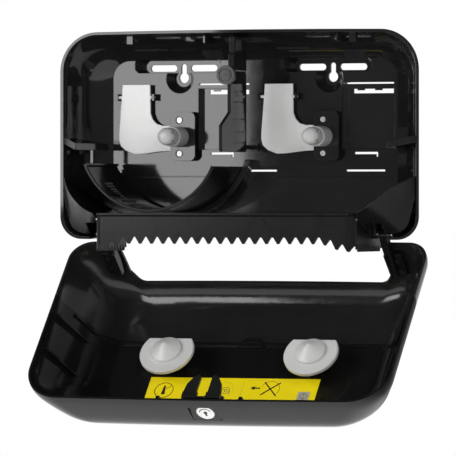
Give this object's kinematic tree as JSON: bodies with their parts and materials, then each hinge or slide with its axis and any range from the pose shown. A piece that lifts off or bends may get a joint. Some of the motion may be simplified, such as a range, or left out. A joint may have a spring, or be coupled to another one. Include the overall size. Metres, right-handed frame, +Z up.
{
  "type": "twin roll paper dispenser",
  "caption": "Wall-mounted paper-roll dispenser shown open: swing-down front cover with sprung pads, toothed tear collar, roll spindles, feelers and a reserve-roll shutter.",
  "frame": {"origin": "the point on the wall plane midway between the two keyholes, on the vertical centre line", "axes": "+X right seen from the front, +Y into the wall, +Z up; the front cover is swung open at rest"},
  "size_m": [0.3604, 0.1727, 0.369],
  "materials": {
    "housing_black": "glossy moulded black",
    "cover_black": "glossy moulded black",
    "collar_black": "satin moulded black",
    "white_plastic": "satin moulded white",
    "screw_steel": "zinc plated",
    "pin_steel": "ground",
    "spring_steel": "bright",
    "window_smoke": "smoked dark plastic",
    "label_yellow": "printed film",
    "shutter_black": "glossy moulded black",
    "badge_grey": "satin",
    "lock_black": "satin",
    "lock_white": "satin"
  },
  "bodies": {
    "housing": {"rear_shell": "housing_black", "tear_collar": "collar_black", "chute_cheek_left": "housing_black", "chute_cheek_right": "housing_black", "hinge_bracket_left": "housing_black", "hinge_bracket_right": "housing_black", "hinge_pin_left": "pin_steel", "hinge_pin_right": "pin_steel", "side_ledge_left": "housing_black", "side_ledge_right": "housing_black", "lock_keeper": "housing_black", "center_divider": "housing_black", "divider_badge": "badge_grey", "spindle_bracket_left": "housing_black", "spindle_bracket_right": "housing_black", "roll_spindle_left": "white_plastic", "roll_spindle_right": "white_plastic", "feeler_pivots_left": "housing_black", "feeler_pivots_right": "housing_black", "feeler_spring_left": "spring_steel", "feeler_spring_right": "spring_steel", "bracket_screws": "screw_steel", "shutter_rail": "housing_black", "collar_screws": "screw_steel"},
    "cover": {"cover_shell": "cover_black", "cover_window": "window_smoke", "window_tab": "cover_black", "cover_hinge_arm_left": "cover_black", "cover_hinge_arm_right": "cover_black", "hinge_arm_screws": "screw_steel", "lock_bezel": "lock_black", "latch_guide": "lock_black", "instruction_label": "label_yellow", "pad_post_left": "cover_black", "pad_post_right": "cover_black", "pad_spring_left": "spring_steel", "pad_spring_right": "spring_steel"},
    "lock": {"lock_barrel": "lock_white", "latch_cam": "spring_steel", "cam_screw": "screw_steel"},
    "pad_left": {"cone_pad_left": "white_plastic"},
    "pad_right": {"cone_pad_right": "white_plastic"},
    "feeler_left": {"roll_feeler_left": "white_plastic"},
    "feeler_right": {"roll_feeler_right": "white_plastic"},
    "shutter": {"reserve_shutter": "shutter_black"}
  },
  "joints": [
    {"name": "cover_hinge", "type": "hinge", "parent": "housing", "child": "cover", "pos_m": [0, -0.0409, -0.1475], "axis": [1, 0, 0], "range_deg": [-137.5, 0]},
    {"name": "lock_turn", "type": "hinge", "parent": "cover", "child": "lock", "pos_m": [0, -0.13679, -0.31002], "axis": [0, -0.6756, -0.7373], "range_deg": [0, 42]},
    {"name": "pad_press_left", "type": "slide", "parent": "cover", "child": "pad_left", "axis": [0, 0.7373, -0.6756], "range_m": [0, 0.006], "stiffness_N_per_m": 400, "springref_m": -0.003, "deforming": ["pad_spring_left"]},
    {"name": "pad_press_right", "type": "slide", "parent": "cover", "child": "pad_right", "axis": [0, 0.7373, -0.6756], "range_m": [0, 0.006], "stiffness_N_per_m": 400, "springref_m": -0.003, "deforming": ["pad_spring_right"]},
    {"name": "feeler_rock_left", "type": "hinge", "parent": "housing", "child": "feeler_left", "pos_m": [-0.0724, -0.0192, -0.0186], "axis": [1, 0, 0], "range_deg": [0, 3.5], "deforming": ["feeler_spring_left"]},
    {"name": "feeler_rock_right", "type": "hinge", "parent": "housing", "child": "feeler_right", "pos_m": [0.0724, -0.0192, -0.0186], "axis": [1, 0, 0], "range_deg": [0, 3.5], "deforming": ["feeler_spring_right"]},
    {"name": "shutter_turn", "type": "hinge", "parent": "housing", "child": "shutter", "pos_m": [-0.0724, -0.06, -0.0563], "axis": [0, 1, 0], "range_deg": [0, 100]}
  ]
}
